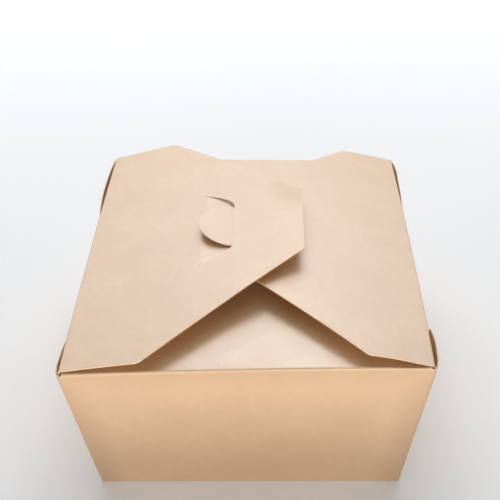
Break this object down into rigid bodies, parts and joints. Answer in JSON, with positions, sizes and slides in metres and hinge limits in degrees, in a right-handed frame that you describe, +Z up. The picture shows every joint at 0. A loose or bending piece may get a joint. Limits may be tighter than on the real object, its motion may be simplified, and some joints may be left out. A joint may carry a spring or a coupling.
{
  "type": "takeaway box",
  "caption": "Flared kraft board food carton with folded corner webs, inner end flaps and long top flaps locked by a round tongue through a slit.",
  "frame": {"origin": "on the floor under the middle of the base", "axes": "+Z up, +Y along the long walls, away from the viewer of the picture; the slotted flap is hinged along the wall at -X and the tongue flap folds in from +X"},
  "size_m": [0.1466, 0.174, 0.0792],
  "materials": {
    "carton_board": "uncoated kraft board, matte",
    "flap_board": "uncoated kraft board, matte"
  },
  "bodies": {
    "carton": {"folded_carton": "carton_board"},
    "lid": {"slotted_flap": "flap_board"}
  },
  "joints": [
    {"name": "slotted_flap_hinge", "type": "hinge", "parent": "carton", "child": "lid", "pos_m": [-0.06857, 0, 0.0635], "axis": [0, -1, 0], "range_deg": [0, 180]}
  ]
}
